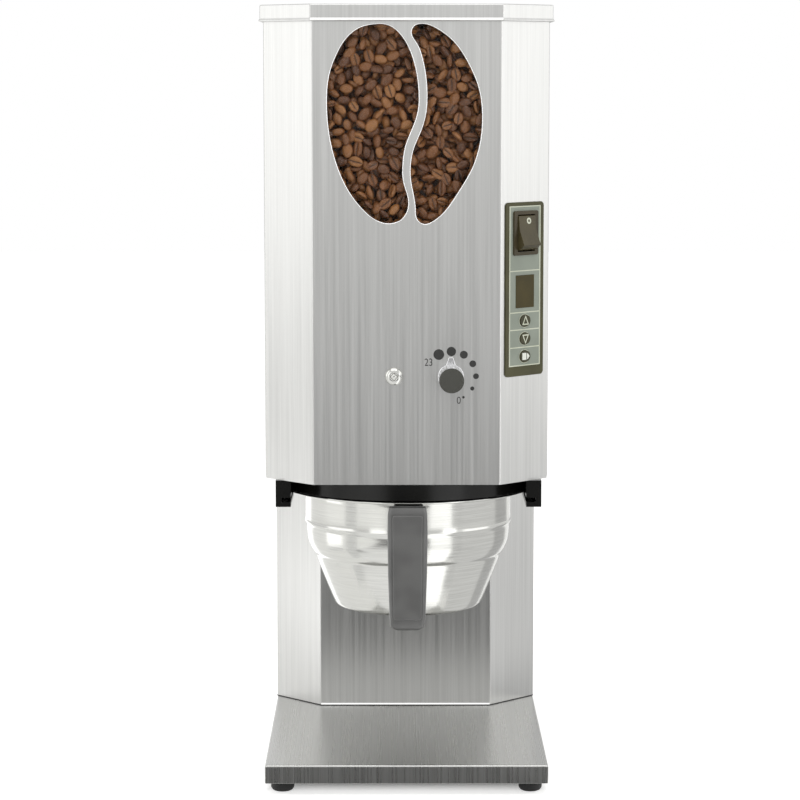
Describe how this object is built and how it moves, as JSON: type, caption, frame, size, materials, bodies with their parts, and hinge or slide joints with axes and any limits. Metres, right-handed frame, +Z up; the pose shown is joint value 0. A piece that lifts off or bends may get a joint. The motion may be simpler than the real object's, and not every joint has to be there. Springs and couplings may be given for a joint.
{
  "type": "coffee grinder",
  "caption": "Tall electric coffee grinder with a bean window, grind setting knob, corner control panel and a slide-in brew basket over an open tray.",
  "frame": {"origin": "on the table, under the middle of the object's own bounding box", "axes": "+Z up, +Y from the front with the bean window to the back cover, +X to the right seen from the front"},
  "size_m": [0.21, 0.4176, 0.5676],
  "materials": {
    "brushed_steel": "satin, vertical brushed grain",
    "bright_steel": "bright drawn and polished stainless steel",
    "zinc_steel": "zinc plated sheet and fasteners",
    "cast_alloy": "as cast, machined faces",
    "burr_steel": "hardened and ground",
    "gear_plastic": "moulded acetal",
    "black_plastic": "moulded, glossy",
    "handle_plastic": "moulded, fine texture",
    "rubber": "moulded",
    "clear_pane": "clear acrylic",
    "hopper_plastic": "moulded, smoke brown",
    "coffee": "roasted beans, a loose fill",
    "fascia_print": "satin printed film, dark olive",
    "field_print": "satin printed film, grey green",
    "rocker_plastic": "moulded, dark olive brown",
    "display_lens": "tinted window",
    "key_rubber": "moulded push key",
    "board_laminate": "green laminate",
    "motor_paint": "baked paint",
    "lamination": "stacked electrical steel",
    "copper": "enamelled copper wire",
    "knob_metal": "turned and polished, fluted"
  },
  "bodies": {
    "housing": {"base_plate": "brushed_steel", "rubber_feet": "rubber", "base_screws": "zinc_steel", "column_shell": "brushed_steel", "housing_shell": "brushed_steel", "housing_floor": "brushed_steel", "rear_cover": "brushed_steel", "cord_gland": "rubber", "window_pane": "clear_pane", "window_retainer": "zinc_steel", "bean_hopper": "hopper_plastic", "coffee_beans": "coffee", "inlet_gasket": "rubber", "top_deck": "zinc_steel", "frame_posts": "zinc_steel", "grinder_body": "cast_alloy", "chamber_cover": "cast_alloy", "cover_bolts": "zinc_steel", "thrust_spider": "burr_steel", "stationary_burr": "burr_steel", "gear_keeper": "zinc_steel", "knob_bushing": "black_plastic", "front_screw": "bright_steel", "motor_casing": "motor_paint", "stator_core": "lamination", "stator_winding": "copper", "shaft_bearings": "burr_steel", "motor_end_bell": "cast_alloy", "fan_cowl": "zinc_steel", "motor_bracket": "zinc_steel", "vibration_mounts": "rubber", "outlet_chute": "black_plastic", "run_capacitor": "cast_alloy", "control_fascia": "fascia_print", "panel_field": "field_print", "switch_body": "black_plastic", "display_lens": "display_lens", "control_board": "board_laminate", "basket_guide": "black_plastic", "housing_screws": "zinc_steel"},
    "lid": {"lid": "brushed_steel"},
    "basket": {"filter_basket": "bright_steel", "basket_handle": "handle_plastic", "handle_rivets": "bright_steel"},
    "knob": {"grind_knob": "knob_metal", "knob_pointer": "knob_metal", "knob_shaft": "bright_steel", "knob_pinion": "gear_plastic"},
    "adjuster": {"adjusting_gear": "gear_plastic"},
    "rocker": {"switch_rocker": "rocker_plastic"},
    "coarser_key": {"key_coarser": "key_rubber"},
    "finer_key": {"key_finer": "key_rubber"},
    "start_key": {"key_start": "key_rubber"},
    "rotor": {"motor_shaft": "bright_steel", "rotor_core": "lamination", "burr_carrier": "burr_steel", "rotating_burr": "burr_steel", "burr_screws": "zinc_steel", "feed_auger": "cast_alloy", "cooling_fan": "black_plastic"}
  },
  "joints": [
    {"name": "lid_lift", "type": "slide", "parent": "housing", "child": "lid", "axis": [0, 0, 1], "range_m": [0, 0.12]},
    {"name": "basket_slide", "type": "slide", "parent": "housing", "child": "basket", "axis": [0, -1, 0], "range_m": [0, 0.18]},
    {"name": "knob_turn", "type": "hinge", "parent": "housing", "child": "knob", "pos_m": [0.0315, -0.1796, 0.3045], "axis": [0, -1, 0], "range_deg": [-150, 30]},
    {"name": "adjuster_turn", "type": "hinge", "parent": "housing", "child": "adjuster", "pos_m": [-0.009, -0.1564, 0.3045], "axis": [0, -1, 0], "range_deg": [-7.38, 36.92]},
    {"name": "rocker_tilt", "type": "hinge", "parent": "housing", "child": "rocker", "pos_m": [0.08284, -0.16164, 0.4059], "axis": [-0.7071, -0.7071, 0], "range_deg": [0, 29]},
    {"name": "coarser_press", "type": "slide", "parent": "housing", "child": "coarser_key", "axis": [-0.7071, 0.7071, 0], "range_m": [0, 0.0005], "stiffness_N_per_m": 800},
    {"name": "finer_press", "type": "slide", "parent": "housing", "child": "finer_key", "axis": [-0.7071, 0.7071, 0], "range_m": [0, 0.0005], "stiffness_N_per_m": 800},
    {"name": "start_press", "type": "slide", "parent": "housing", "child": "start_key", "axis": [-0.7071, 0.7071, 0], "range_m": [0, 0.0005], "stiffness_N_per_m": 800},
    {"name": "rotor_spin", "type": "hinge", "parent": "housing", "child": "rotor", "pos_m": [-0.009, -0.0584, 0.3045], "axis": [0, -1, 0], "continuous": true}
  ],
  "couplings": [
    {"joint": "adjuster_turn", "follows": "knob_turn", "ratio": -0.24615}
  ]
}
